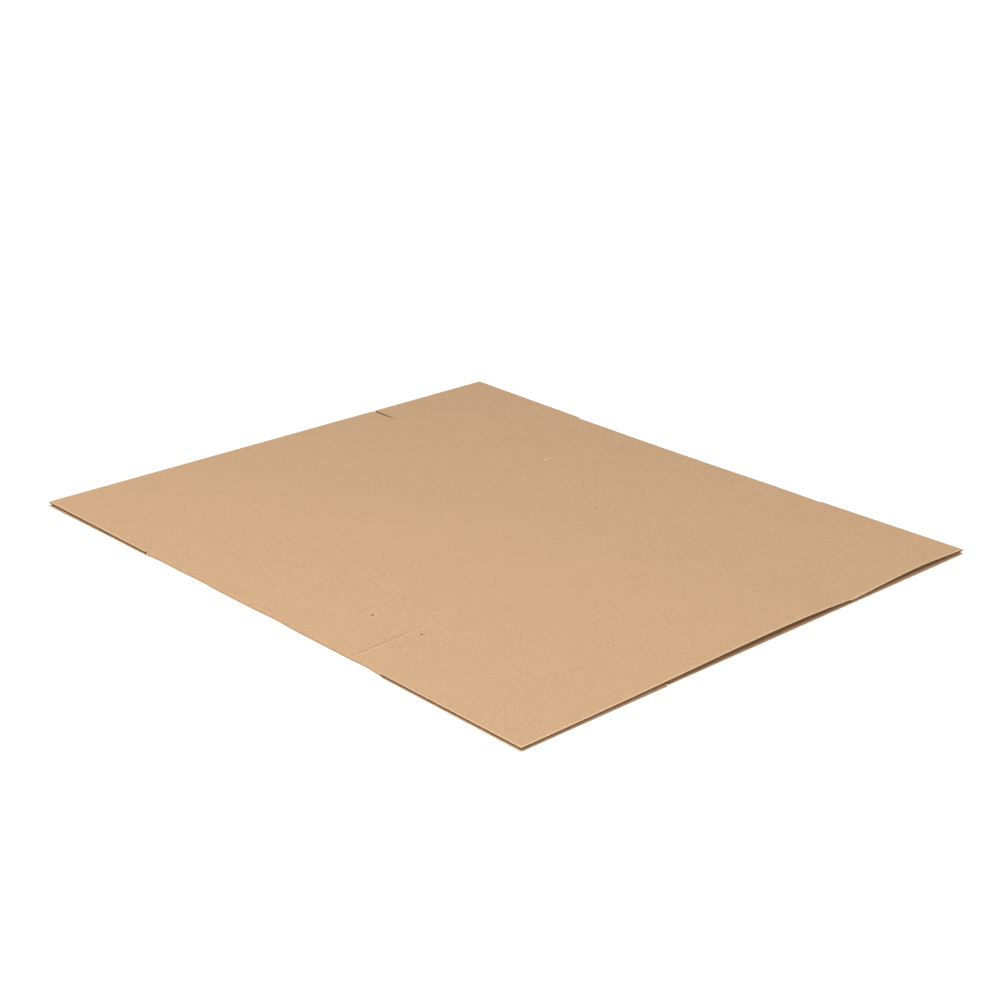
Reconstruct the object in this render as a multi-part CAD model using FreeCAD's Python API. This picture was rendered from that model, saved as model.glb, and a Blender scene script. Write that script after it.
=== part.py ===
import FreeCAD, Part
import math
import os
from FreeCAD import Vector

# A slotted carton of single-wall corrugated board, glued into a tube and pressed flat.
# It lies on its larger face: X runs across the panels, Y along the flutes, Z up.
# The origin is the middle of the footprint, on the surface it lies on. Millimetres.

# Panels and flaps of the pressed carton
WIDE_PANEL = 714.0
NARROW_PANEL = 286.0
BODY_HEIGHT = 585.0
FLAP_DEPTH = 291.0
FOLD_INSET = 4.5          # how far the pressed folds stand inside the flap corners
NARROW_FLARE = 3.5        # how far a flap's side stands inside its corner at the score
WIDE_FLARE = 1.0

# Single-wall board
BOARD = 2.9
LINER = 0.42
MEDIUM = 0.34
FLUTE_PITCH = 7.0
CRUSHED_BAND = 14.0       # solid band beside each fold, slot and panel crease

# Scores and the spare crease that lets the carton be cut down
SCORE_WIDTH = 3.6
SCORE_DEPTH = 0.18
SPARE_CREASE_DEPTH = 0.34
SPARE_CREASE_FROM_SCORE = 75.0

# Slots between neighbouring flaps
SLIT = 1.0
SLOT_DRIFT = 10.2         # how far off the panel crease the upper slots end, each its own way
BACK_MOUTH = 5.2          # how far the wide flap's corner is cut back from the slit
BACK_MOUTH_DEPTH = 62.0
UNDER_MOUTH = 7.0
UNDER_MOUTH_DEPTH = 40.0
UNDER_FLAP_SETBACK = 2.4  # the wide under flap ends this much short of its neighbour

# Glue joint of the lower layer
TAB_WIDTH = 35.0
TAB_SEAT = 10.0
TAB_BOARD = 2.1           # the tab is pressed thinner than the board
TAB_CLEARANCE = 0.4
TAB_END_TAPER = 14.0

# Sizes that follow from those above
FLAT_WIDTH = WIDE_PANEL + NARROW_PANEL
HALF_WIDTH = FLAT_WIDTH / 2
HALF_BODY = BODY_HEIGHT / 2
HALF_LENGTH = HALF_BODY + FLAP_DEPTH
CREASE_X = WIDE_PANEL - HALF_WIDTH
JOINT_X = NARROW_PANEL - HALF_WIDTH
SPARE_CREASE_Y = SPARE_CREASE_FROM_SCORE - HALF_BODY
CROSS_CREASES = ((HALF_BODY, SCORE_DEPTH), (SPARE_CREASE_Y, SPARE_CREASE_DEPTH), (-HALF_BODY, SCORE_DEPTH))

# Gap between the two layers
FOLD_GAP = 1.6
BODY_CREASE_GAP = 2.3
FOLD_TOP = 2 * BOARD + FOLD_GAP
FOLD_RADIUS = FOLD_TOP / 2
FOLD_START = HALF_WIDTH - FOLD_INSET - FOLD_RADIUS
WELL_ABOVE = 10 * BOARD
OVERCUT = 1.0             # how far cutting shapes reach past the board

# The body's wide panel rises just enough to clear the glue tab
TAB_SHARE = (JOINT_X - TAB_SEAT + FOLD_START) / (CREASE_X + FOLD_START)
GAP_BEFORE_RISE = FOLD_GAP + (BODY_CREASE_GAP - FOLD_GAP) * TAB_SHARE
TAB_RISE = (TAB_BOARD + TAB_CLEARANCE - GAP_BEFORE_RISE) / math.sin(math.pi * TAB_SHARE)

# Each table: the gap at the left side, the panel crease and the right side, then the
# rise of each panel between those and how far the crest of that rise leans to the right
BODY_GAP = {"left": FOLD_GAP, "crease": BODY_CREASE_GAP, "right": FOLD_GAP,
            "wide_rise": TAB_RISE, "wide_lean": 1.0, "narrow_rise": 0.6, "narrow_lean": 1.0}
FRONT_GAP = {"left": 0.4, "crease": 1.4, "right": 3.0,
             "wide_rise": 6.3, "wide_lean": 2.2, "narrow_rise": 5.1, "narrow_lean": 1.15}
CHORD_SPACING = 70.0


def panel_rise(share, rise, lean):
    """Bow of a panel at a share of its width, with its crest moved by lean."""
    return rise * math.sin(math.pi * share ** lean)


def gap_at(x, gap):
    """Gap between the layers at x for one of the gap tables."""
    inside = max(-FOLD_START, min(FOLD_START, x))
    if inside <= CREASE_X:
        share = (inside + FOLD_START) / (CREASE_X + FOLD_START)
        ends = gap["left"] + (gap["crease"] - gap["left"]) * share
        return ends + panel_rise(share, gap["wide_rise"], gap["wide_lean"])
    share = (inside - CREASE_X) / (FOLD_START - CREASE_X)
    ends = gap["crease"] + (gap["right"] - gap["crease"]) * share
    return ends + panel_rise(share, gap["narrow_rise"], gap["narrow_lean"])


def spaced(first, last, steps):
    """Evenly spaced values from first to last."""
    return [first + (last - first) * i / steps for i in range(steps + 1)]


WIDE_XS = spaced(-FOLD_START, CREASE_X, math.ceil((CREASE_X + FOLD_START) / CHORD_SPACING))
NARROW_XS = spaced(CREASE_X, FOLD_START, math.ceil((FOLD_START - CREASE_X) / CHORD_SPACING))
CHORD_XS = WIDE_XS + NARROW_XS[1:]


def straight_gap(x, gap):
    """Gap at x with the board's faces straight between the chord points."""
    inside = max(CHORD_XS[0], min(CHORD_XS[-1], x))
    left_x, right_x = next(pair for pair in zip(CHORD_XS, CHORD_XS[1:]) if inside <= pair[1])
    along = (inside - left_x) / (right_x - left_x)
    return gap_at(left_x, gap) * (1 - along) + gap_at(right_x, gap) * along


def layer_gap(x, y):
    """Gap between the layers, which changes over the front flaps only."""
    share = max(0.0, (-y - HALF_BODY) / FLAP_DEPTH)
    return straight_gap(x, BODY_GAP) * (1 - share) + straight_gap(x, FRONT_GAP) * share


def flap_side(y, flare):
    """Distance from the middle to a flap's side at y."""
    along = max(0.0, (abs(y) - HALF_BODY) / FLAP_DEPTH)
    return HALF_WIDTH - flare * (1 - along)


def closed_wire(points):
    return Part.makePolygon(points + [points[0]])


def flute_middles(start, end):
    """Middles of the flutes that fit between two crushed bands."""
    room = end - start - 2 * CRUSHED_BAND
    count = int(room // FLUTE_PITCH)
    first = (start + end - (count - 1) * FLUTE_PITCH) / 2
    return [first + i * FLUTE_PITCH for i in range(count)]


def flute_hollows(start, end):
    """Triangles left on both sides of the wavy medium, as (x, height in the board)."""
    rise = BOARD - 2 * LINER
    slope = math.atan2(rise, FLUTE_PITCH / 2)
    foot = MEDIUM / 2 / math.sin(slope)
    peak = MEDIUM / 2 / math.cos(slope)
    reach = FLUTE_PITCH / 2 - foot
    hollows = []
    middles = flute_middles(start, end)
    for number, middle in enumerate(middles):
        hollows.append([(middle - reach, LINER), (middle + reach, LINER), (middle, BOARD - LINER - peak)])
        if number < len(middles) - 1:
            top = middle + FLUTE_PITCH / 2
            hollows.append([(top - reach, BOARD - LINER), (top, LINER + peak), (top + reach, BOARD - LINER)])
    return hollows


def upper_outline(y, dip):
    """Section of the upper layer at y, its outer face lowered by dip."""
    xs = [-flap_side(y, WIDE_FLARE)] + CHORD_XS + [flap_side(y, NARROW_FLARE)]
    outer = [Vector(x, y, 2 * BOARD + layer_gap(x, y) - dip) for x in xs]
    inner = [Vector(x, y, BOARD + layer_gap(x, y)) for x in reversed(xs)]
    return closed_wire(outer + inner)


def upper_stations():
    """Each y where the upper outline is set, with the dip of its outer face there."""
    half = SCORE_WIDTH / 2
    stations = [(HALF_LENGTH, 0.0)]
    for middle, depth in CROSS_CREASES:
        stations += [(middle + half, 0.0), (middle, depth), (middle - half, 0.0)]
    return stations + [(-HALF_LENGTH, 0.0)]


def upper_layer():
    """The upper layer as one closed shell: outer skin, flute hollows and the two ends."""
    outlines = [upper_outline(y, dip) for y, dip in upper_stations()]
    faces = Part.makeLoft(outlines, False, True).Faces
    hollows = flute_hollows(-FOLD_START, CREASE_X) + flute_hollows(CREASE_X, FOLD_START)
    ends = {HALF_LENGTH: [outlines[0]], -HALF_LENGTH: [outlines[-1]]}
    for hollow in hollows:
        rings = []
        for y in (HALF_LENGTH, -HALF_BODY, -HALF_LENGTH):
            ring = [Vector(x, y, BOARD + layer_gap(x, y) + height) for x, height in hollow]
            rings.append(closed_wire(ring))
        faces += Part.makeLoft(rings, False, True).Faces
        ends[HALF_LENGTH].append(rings[0])
        ends[-HALF_LENGTH].append(rings[-1])
    for wires in ends.values():
        faces += Part.makeFace(wires, "Part::FaceMakerBullseye").Faces
    shell = Part.makeShell(faces)
    shell.sewShape()
    layer = Part.makeSolid(shell.Shells[0] if shell.Shells else shell)
    if layer.Volume < 0:
        layer.reverse()
    return layer


def lower_panel(start, end, front_y):
    """A flat panel of the lower layer with its flutes, from start to end in x."""
    outline = closed_wire([Vector(start, front_y, 0), Vector(end, front_y, 0),
                           Vector(end, front_y, BOARD), Vector(start, front_y, BOARD)])
    inner_start = max(start, -FOLD_START)
    inner_end = min(end, FOLD_START)
    rings = [outline]
    for hollow in flute_hollows(inner_start, inner_end):
        rings.append(closed_wire([Vector(x, front_y, height) for x, height in hollow]))
    section = Part.makeFace(rings, "Part::FaceMakerBullseye")
    return section.extrude(Vector(0, HALF_LENGTH - front_y, 0))


def plan_prism(points, bottom, top):
    """A prism over points in plan."""
    outline = closed_wire([Vector(x, y, bottom) for x, y in points])
    return Part.Face(outline).extrude(Vector(0, 0, top - bottom))


def upper_slot_line(y):
    """Middle of the upper slits, which drift away from the panel crease."""
    return CREASE_X + SLOT_DRIFT * y / HALF_LENGTH


def joint_line(y):
    """Middle of the lower slits, in line with the glue joint."""
    return JOINT_X


def slot(line, end, opened, mouth, mouth_depth, bottom, top):
    """A slit from the score to the free edge, with a tapered mouth on its opened side."""
    score, edge = end * HALF_BODY, end * (HALF_LENGTH + OVERCUT)
    neck = end * (HALF_LENGTH - mouth_depth)
    half = opened * SLIT / 2
    points = [(line(score) - half, score), (line(edge) - half, edge),
              (line(edge) + half + opened * mouth, edge), (line(neck) + half, neck), (line(score) + half, score)]
    return plan_prism(points, bottom, top)


def body_trim(side):
    """A tool that takes the board back to where the pressed fold begins."""
    far, start = side * (HALF_WIDTH + OVERCUT), side * FOLD_START
    points = [(start, -HALF_BODY), (far, -HALF_BODY), (far, HALF_BODY), (start, HALF_BODY)]
    return plan_prism(points, -OVERCUT, WELL_ABOVE)


def flare_trims(side, flare):
    """Tools that give the lower flaps their flare on one side."""
    far, past_end = side * (HALF_WIDTH + OVERCUT), HALF_LENGTH + OVERCUT
    tools = []
    for end in (-1, 1):
        points = [(side * flap_side(HALF_BODY, flare), end * HALF_BODY), (far, end * HALF_BODY),
                  (far, end * past_end), (side * flap_side(past_end, flare), end * past_end)]
        tools.append(plan_prism(points, -OVERCUT, BOARD + OVERCUT))
    return tools


def fold(side):
    """The pressed fold that joins both layers along one side of the body."""
    middle = FOLD_TOP / 2
    inner = middle - BOARD

    def at(x, z):
        return Vector(side * x, -HALF_BODY, z)

    outer_arc = Part.Arc(at(FOLD_START, 0), at(FOLD_START + FOLD_RADIUS, middle), at(FOLD_START, FOLD_TOP))
    inner_arc = Part.Arc(at(FOLD_START, BOARD), at(FOLD_START + inner, middle), at(FOLD_START, FOLD_TOP - BOARD))
    edges = [outer_arc.toShape(),
             Part.makeLine(at(FOLD_START, FOLD_TOP), at(FOLD_START, FOLD_TOP - BOARD)),
             inner_arc.toShape(),
             Part.makeLine(at(FOLD_START, BOARD), at(FOLD_START, 0))]
    section = Part.Face(Part.Wire(Part.__sortEdges__(edges)))
    return section.extrude(Vector(0, BODY_HEIGHT, 0))


def glue_tab():
    """The tab that holds the joint of the lower layer, on the inside of the carton."""
    left, right = JOINT_X - TAB_SEAT, JOINT_X + TAB_WIDTH
    half = HALF_BODY - SCORE_WIDTH
    points = [(left, -half), (JOINT_X, -half), (right, TAB_END_TAPER - half),
              (right, half - TAB_END_TAPER), (JOINT_X, half), (left, half)]
    return plan_prism(points, BOARD, BOARD + TAB_BOARD)


def under_scores():
    """Pressed lines across the under face."""
    half, start = SCORE_WIDTH / 2, -HALF_WIDTH - OVERCUT
    tools = []
    for middle, depth in CROSS_CREASES:
        section = closed_wire([Vector(start, middle - half, 0), Vector(start, middle + half, 0),
                               Vector(start, middle, depth)])
        tools.append(Part.Face(section).extrude(Vector(FLAT_WIDTH + 2 * OVERCUT, 0, 0)))
    return tools


def folded_carton():
    upper_slots = [slot(upper_slot_line, 1, -1, BACK_MOUTH, BACK_MOUTH_DEPTH, BOARD, WELL_ABOVE),
                   slot(upper_slot_line, -1, -1, 0.0, BACK_MOUTH_DEPTH, BOARD, WELL_ABOVE)]
    upper = upper_layer().cut(upper_slots + [body_trim(-1), body_trim(1)])
    mouths = [slot(joint_line, end, 1, UNDER_MOUTH, UNDER_MOUTH_DEPTH, -OVERCUT, BOARD + OVERCUT)
              for end in (-1, 1)]
    narrow = lower_panel(-HALF_WIDTH, JOINT_X - SLIT / 2, -HALF_LENGTH)
    narrow = narrow.cut([body_trim(-1)] + flare_trims(-1, NARROW_FLARE) + under_scores())
    wide = lower_panel(JOINT_X + SLIT / 2, HALF_WIDTH, UNDER_FLAP_SETBACK - HALF_LENGTH)
    wide = wide.cut(mouths + [body_trim(1)] + flare_trims(1, WIDE_FLARE) + under_scores())
    return upper.fuse([narrow, wide, fold(-1), fold(1), glue_tab()])


os.makedirs("parts", exist_ok=True)
carton = folded_carton()
carton = carton.Solids[0] if len(carton.Solids) == 1 else carton
carton.exportStep("parts/folded_carton.step")
print("solids", len(carton.Solids), "valid", carton.isValid(), "volume in cm3", round(carton.Volume / 1000, 1))
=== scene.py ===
"""A slotted shipping carton of kraft corrugated board, glued into a tube and pressed flat.

The file is laid out as an add-on. Run as a script it makes the carton's plies around the
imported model, the glue tab inside it, and a plain studio. Lengths are in metres.
"""
import math

import bmesh
import bpy
from bpy.props import FloatProperty, FloatVectorProperty, IntProperty, PointerProperty
from mathutils import Matrix, Vector


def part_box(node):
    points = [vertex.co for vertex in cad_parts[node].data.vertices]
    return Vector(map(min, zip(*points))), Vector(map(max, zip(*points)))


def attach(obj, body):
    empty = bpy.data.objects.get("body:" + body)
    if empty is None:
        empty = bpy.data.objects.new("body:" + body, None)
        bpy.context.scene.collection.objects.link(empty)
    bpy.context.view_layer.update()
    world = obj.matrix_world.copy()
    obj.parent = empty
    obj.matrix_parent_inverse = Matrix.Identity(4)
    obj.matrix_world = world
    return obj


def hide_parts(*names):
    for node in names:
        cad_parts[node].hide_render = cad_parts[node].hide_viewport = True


bl_info = {
    "name": "Pressed flat carton",
    "version": (1, 0, 0),
    "blender": (4, 5, 0),
    "location": "View3D > Sidebar > Carton",
    "description": "Makes a flat slotted carton of corrugated board with its plies, slots and creases",
    "category": "Add Mesh",
}

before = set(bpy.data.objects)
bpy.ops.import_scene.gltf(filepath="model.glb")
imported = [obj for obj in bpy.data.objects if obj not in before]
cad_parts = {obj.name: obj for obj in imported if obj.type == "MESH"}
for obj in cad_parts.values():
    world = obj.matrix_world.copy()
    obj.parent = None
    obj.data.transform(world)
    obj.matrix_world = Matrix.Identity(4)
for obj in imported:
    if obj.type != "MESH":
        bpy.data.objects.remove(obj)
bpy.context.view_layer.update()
CAD_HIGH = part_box("folded_carton")[1]
NODE = "folded_carton"
BODY = "root"

MM = 0.001
MICRON = 1e-6
WHITE = (1.0, 1.0, 1.0, 1.0)

# Gaps between the layers at the flaps' free edges: at the left side, on the wide and on the
# narrow side of the panel crease and at the right side, then each panel's bow: rise and lean
FRONT_GAP = {"left": 0.4 * MM, "crease": (2.6 * MM, 0.7 * MM), "right": 3.0 * MM,
             "wide": (5.38 * MM, 2.2), "narrow": (5.36 * MM, 1.15)}
BACK_GAP = {"left": 3.0 * MM, "crease": (2.8 * MM, 2.8 * MM), "right": 2.9 * MM,
            "wide": (0.0, 1.0), "narrow": (0.0, 1.0)}
BODY_CREASE_GAP = 2.3 * MM
BODY_WIDE_BOW = (0.7 * MM, 1.0)
BODY_NARROW_BOW = (0.6 * MM, 1.0)

# Dents in the two pressed folds: side, place along the fold, depth and reach.
# A negative depth is a swelling, as where the left fold meets the flaps.
FOLD_DENTS = (
    (-1, 0.150, 0.0020, 0.022), (-1, -0.036, 0.0021, 0.036), (-1, -0.246, 0.0013, 0.024),
    (-1, 0.2925, -0.0026, 0.020), (-1, -0.2925, -0.0016, 0.018),
    (1, 0.090, 0.0012, 0.110), (1, -0.210, -0.0020, 0.100),
)

# How far forward the spare crease bends at the left fold and where the bend ends, then where
# the crease's sharp end fades, in its relief and in its painted shade and highlight
SPARE_BEND = 8.0 * MM
SPARE_BEND_END = -0.26
SHARP_RELIEF = (-0.44, -0.34)
SHARP_MARKS = (-0.42, -0.335)

# Lines along the spare crease: strength all along, strength added where the crease is
# sharp, place beside the crease, and reach. The valley and the bead are relief; the other two
# are colour: painted shade in the crease and a painted highlight on the bead
VALLEY = (0.05 * MM, 0.32 * MM, 0.6 * MM, 1.6 * MM)
BEAD = (0.05 * MM, 0.18 * MM, -3.2 * MM, 2.4 * MM)
CREASE_PAINTED_SHADE = (0.06, 0.80, 0.4 * MM, 1.5 * MM)
BEAD_PAINTED_HIGHLIGHT = (0.42, 0.30, -3.6 * MM, 1.9 * MM)
MARKS_INSIDE_FOLD = 1.0 * MM
MARKS_ON_FOLD = 2.0 * MM

# The flap scores, and the share of a crease's relief that the inner liner loses
SCORE_DEPTH = 0.04 * MM
SCORE_REACH = 2.2 * MM
RELIEF_FADE = 0.6

# How far the board gives way round a side, a leaning slot, a slot's lips and the spare crease
SIDE_PULL = 20 * MM
LEAN_PULL = 60 * MM
LIP_PULL = 4 * MM
SPARE_PULL = 30 * MM

# The back slot's mouth keeps its width before it closes, the front slit gapes a little on
# each side between two places, and the under flap's setback lessens to the right
MOUTH_CURVE = 1.8
SLIT_GAPE = 0.26 * MM
GAPE_STARTS = (0.306, 0.322)
GAPE_ENDS = (0.365, 0.395)
SETBACK_TAPER = 0.7

# How far in from a free edge and a flap's side the board is pressed thin, and how far from
# the score that begins
PRESSED_END = 5 * MM
PRESSED_SIDE = 6 * MM
PRESSED_FROM_SCORE = 20 * MM

# How far in from a cut edge each liner is paled, partly as rubbed paper and partly as painted light: a
# painted highlight along the outer liner's edges and, on the inner liner, painted light on the lower layer's
# face inside the gap. Near a slit only the very end is.
OUTER_RUB_AND_HIGHLIGHT = 2.4 * MM
INNER_RUB_AND_LIGHT = 5.0 * MM
UNPALED_SLIT = 12 * MM
UNPALED_END = 2 * MM

# Extra points of the liners, in millimetres from a score, the spare crease and a cut edge
SCORE_POINTS = (-6, -3.5, -1.6, 0, 1.6, 3.5, 6)
SPARE_POINTS = (-9, -6.5, -5, -3.8, -2.6, -1.4, -0.4, 0.6, 1.6, 2.8, 4.5, 7)
EDGE_POINTS = (1.5, 4, 8)
LEAST_STEP = 0.55 * MM
SHARP_EDGE = math.radians(32)

# The medium stops short of the liners' edges and has a point just outside each score
MEDIUM_INSET = 0.15 * MM
MEDIUM_SCORE_STEP = 2 * MM
MERGE_DISTANCE = 0.02 * MM

# The glue tab: what lies under the joined panel, how far it ends inside the scores, the
# taper of its ends and the rounding of its edges
TAB_SEAT = 10 * MM
TAB_SHORT = 4 * MM
TAB_TAPER = 14 * MM
TAB_ROUNDING = 0.5 * MM

# Size of the kraft paper's texture, as noise scales
FINE_SCALE = 820.0
FIBRE_SCALE = 420.0
CLOUD_SCALE = 16.0
FLECK_SCALE = 260.0
RAGGED_SCALE = 900.0

# The paper's lightest, darkest and fleck tones as shares of its colour, and how strongly
# flecks, the crease's painted shade and the painted highlight on its bead show
PALE_TONE = 1.20
DEEP_TONE = 0.80
FLECK_TONE = 0.45
FLECK_SHARE = 0.35
CREASE_SHADE_SHARE = 0.50
BEAD_HIGHLIGHT_SHARE = 0.30
FIBRE_HEIGHT = 0.08 * MM

# Each fleck's rim and heart in its cell, the share of cells without one, and the paper's gloss
FLECK_RIM = 0.10
FLECK_HEART = 0.04
UNFLECKED = 0.93
GLOSS = 0.25
BUMP = 0.25
ROUGH_SPREAD = 0.10

# Specks pressed into the upper face: place in plan, radius and colour
BARK = (0.16, 0.095, 0.05, 1.0)
CHALK = (0.93, 0.86, 0.75, 1.0)
SPECKS = (
    ("Bark fleck by the left side", (-0.3817, -0.1365), 0.0026, BARK),
    ("Bark fleck in front of the crease", (-0.3716, -0.2370), 0.0024, BARK),
    ("Grey fleck near the middle", (0.1812, -0.0554), 0.0020, BARK),
    ("Pale fleck on the right", (0.2821, 0.1707), 0.0024, CHALK),
)
SPECK_HEIGHT = 7.8 * MM
SPECK_HEIGHT_SHARE = 0.5

# Studio: where the lamps stand, what they look at and their width, then the floor
KEY_PLACE = (-1.8, 0.0, 2.4)
KEY_AIM = (-0.3, 0.0, 0.0)
FILL_PLACE = (0.8, -2.3, 2.2)
FILL_AIM = (0.1, -0.3, 0.0)
LAMP_WIDTH = 1.6
SENSOR_WIDTH = 36.0
FLOOR_REACH = 14.0
FLOOR_DROP = 0.05 * MM
FLOOR_PAINT = (0.86, 0.86, 0.86, 1.0)
FLOOR_GLOW = 0.56


def spaced(first, last, steps):
    """Evenly spaced values from first to last, both included."""
    return [first + (last - first) * i / steps for i in range(steps + 1)]


def thinned(places, wanted, least):
    """Sorted places with a least distance between them, the wanted ones always among them."""
    others = [place for place in places if all(abs(place - exact) >= least for exact in wanted)]
    kept = []
    for place in sorted(others):
        if not kept or place - kept[-1] >= least:
            kept.append(place)
    return sorted(kept + list(wanted))


def eased(value, start, end):
    """0 before start and 1 after end, with a smooth change between them."""
    t = max(0.0, min(1.0, (value - start) / (end - start)))
    return t * t * (3 - 2 * t)


def hump(distance, reach):
    """A smooth bump of height 1 that fades within about two reaches."""
    return math.exp(-(distance / reach) ** 2)


def bowed(share, first, last, rise, lean):
    """A value at a share of a panel's width, from first to last with a leaning bow."""
    return first + (last - first) * share + rise * math.sin(math.pi * share ** lean)


def crease_line(from_crease, sharp, line):
    """Strength of one of the spare crease's lines at a distance from the crease."""
    plain, added, place, reach = line
    return (plain + added * sharp) * hump(from_crease - place, reach)


def opaque(colour, share=1.0):
    """A share of a colour, with full alpha."""
    return tuple(min(1.0, channel * share) for channel in colour) + (1.0,)


class CartonSizes(bpy.types.PropertyGroup):
    """The carton's panels, board and slots."""

    half_width: FloatProperty(
        name="Half width", description="Middle to the flaps' corners", default=CAD_HIGH[0], unit="LENGTH")
    half_length: FloatProperty(
        name="Half length", description="Middle to the flaps' ends", default=CAD_HIGH[1], unit="LENGTH")
    flap_depth: FloatProperty(
        name="Flap depth", description="From the flap score to the free edge", default=0.291, unit="LENGTH")
    narrow_panel: FloatProperty(
        name="Narrow panel", description="Width of the two narrow panels", default=0.286, unit="LENGTH")
    board: FloatProperty(
        name="Board", description="Thickness of the corrugated board", default=0.0029, unit="LENGTH")
    liner: FloatProperty(
        name="Liner", description="Thickness of one liner", default=0.00038, unit="LENGTH")
    medium: FloatProperty(
        name="Medium", description="Thickness of the wavy medium", default=0.0002, unit="LENGTH")
    pitch: FloatProperty(
        name="Flute pitch", description="From one flute's crest to the next", default=0.007, unit="LENGTH")
    edge_press: FloatProperty(
        name="Edge press", description="Share of the thickness lost at the upper cut edges", default=0.15)
    lower_press: FloatProperty(
        name="Lower edge press", description="The same at the lower cut edges", default=0.40)
    fold_gap: FloatProperty(
        name="Fold gap", description="Gap beside a pressed fold", default=0.0016, unit="LENGTH")
    fold_inset: FloatProperty(
        name="Fold inset", description="From a fold to the flap corners", default=0.0045, unit="LENGTH")
    wide_flare: FloatProperty(
        name="Wide flap flare", description="How far a wide flap's score end stands inside its corner",
        default=0.001, unit="LENGTH")
    narrow_flare: FloatProperty(
        name="Narrow flap flare", description="The same for a narrow flap", default=0.0035, unit="LENGTH")
    slot_lean: FloatProperty(
        name="Slot lean", description="Sideways drift of the upper panel crease per metre", default=0.0175)
    slit: FloatProperty(
        name="Slit", description="Width of a closed slot", default=0.00004, unit="LENGTH")
    joint_gap: FloatProperty(
        name="Joint gap", description="Gap between the panels at the glued joint",
        default=0.0010, unit="LENGTH")
    mouth: FloatProperty(
        name="Slot mouth", description="Width of the open slot at the back edge",
        default=0.0052, unit="LENGTH")
    mouth_depth: FloatProperty(
        name="Mouth depth", description="How far in the open slot closes", default=0.074, unit="LENGTH")
    under_mouth: FloatProperty(
        name="Under slot mouth", description="Width of the lower slot at the front edge",
        default=0.005, unit="LENGTH")
    under_mouth_depth: FloatProperty(
        name="Under mouth depth", description="How far in the lower slot closes",
        default=0.010, unit="LENGTH")
    setback: FloatProperty(
        name="Under flap setback", description="How much shorter the wide under flap is",
        default=0.0024, unit="LENGTH")
    spare_crease: FloatProperty(
        name="Spare crease", description="Distance of the spare crease from the front score",
        default=0.078, unit="LENGTH")
    tab_width: FloatProperty(
        name="Glue tab", description="Width of the glued tab", default=0.035, unit="LENGTH")
    tab_board: FloatProperty(
        name="Tab board", description="Thickness of the pressed glue tab", default=0.0021, unit="LENGTH")
    column_step: FloatProperty(
        name="Column step", description="Spacing of the liners' points across the panels",
        default=0.016, unit="LENGTH")
    row_step: FloatProperty(
        name="Row step", description="Spacing of the liners' points along the flutes",
        default=0.014, unit="LENGTH")
    flute_samples: IntProperty(
        name="Flute samples", description="Segments in one flute", default=8)


class KraftFinish(bpy.types.PropertyGroup):
    """Colours and texture of the kraft paper, with painted shade and painted light on its medium, its cut
    edges and its spare crease.
    """

    liner_colour: FloatVectorProperty(
        name="Liner", description="Colour of the outer liner",
        subtype="COLOR", default=(0.618, 0.394, 0.225))
    inside_colour: FloatVectorProperty(
        name="Inside liner", description="Colour of the inner liner",
        subtype="COLOR", default=(0.500, 0.285, 0.145))
    # Painted shade and painted light: the upper medium is darkened as shade on the upper cut edge and the
    # lower medium is lightened as the floor's bounce light on the lower cut edge. They are shaded and lit
    # copies of one paper.
    upper_medium_shade_colour: FloatVectorProperty(
        name="Medium", description="Colour of the upper layer's wavy medium",
        subtype="COLOR", default=(0.125, 0.066, 0.034))
    lower_medium_lit_colour: FloatVectorProperty(
        name="Lower medium", description="Colour of the lower layer's medium",
        subtype="COLOR", default=(0.950, 0.660, 0.420))
    # Pale colour for the rubbed cut edges. It also serves as a painted highlight along them and on the spare
    # crease's bead.
    rub_and_highlight_colour: FloatVectorProperty(
        name="Cut edge", description="Colour of the liner where its edge is rubbed",
        subtype="COLOR", default=(0.860, 0.610, 0.390))
    # Painted shade in the sharp spare crease
    crease_shade_colour: FloatVectorProperty(
        name="Crease shade line", description="Colour of the paper in a sharp crease",
        subtype="COLOR", default=(0.270, 0.150, 0.080))
    # Shares of the pale rim colour, partly rubbing and partly painted light: a highlight along the outer
    # liner's edges, and on the inner liner light on the lower layer's face in the gap
    outer_rub_and_highlight: FloatProperty(
        name="Outer rub and highlight", description="How pale the outer liner's rubbed edges are", default=0.85)
    inner_rub_and_light: FloatProperty(
        name="Inner rub and light", description="How pale the inner liner's rubbed edges are", default=0.90)
    grain: FloatProperty(
        name="Grain", description="Strength of the fibre mottling", default=0.9)
    roughness: FloatProperty(
        name="Roughness", description="Roughness of the paper", default=0.86)


class StudioSettings(bpy.types.PropertyGroup):
    """Camera and light of the studio."""

    camera_place: FloatVectorProperty(
        name="Camera", description="Where the camera stands",
        subtype="TRANSLATION", default=(-2.1339, -2.2622, 1.2815))
    azimuth: FloatProperty(
        name="Azimuth", description="Camera heading from +Y towards +X, in degrees", default=43.443)
    elevation: FloatProperty(
        name="Elevation", description="Camera pitch, down is negative, in degrees", default=-21.548)
    roll: FloatProperty(
        name="Roll", description="Camera roll in degrees", default=0.727)
    lens: FloatProperty(
        name="Lens", description="Focal length on a 36 mm sensor, in millimetres", default=72.408)
    sky: FloatProperty(
        name="Sky", description="Strength of the even studio light", default=0.53)
    key: FloatProperty(
        name="Key", description="Power of the large lamp at the left, in watts", default=42.0)
    fill: FloatProperty(
        name="Fill", description="Power of the lamp in front, in watts", default=17.0)


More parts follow.
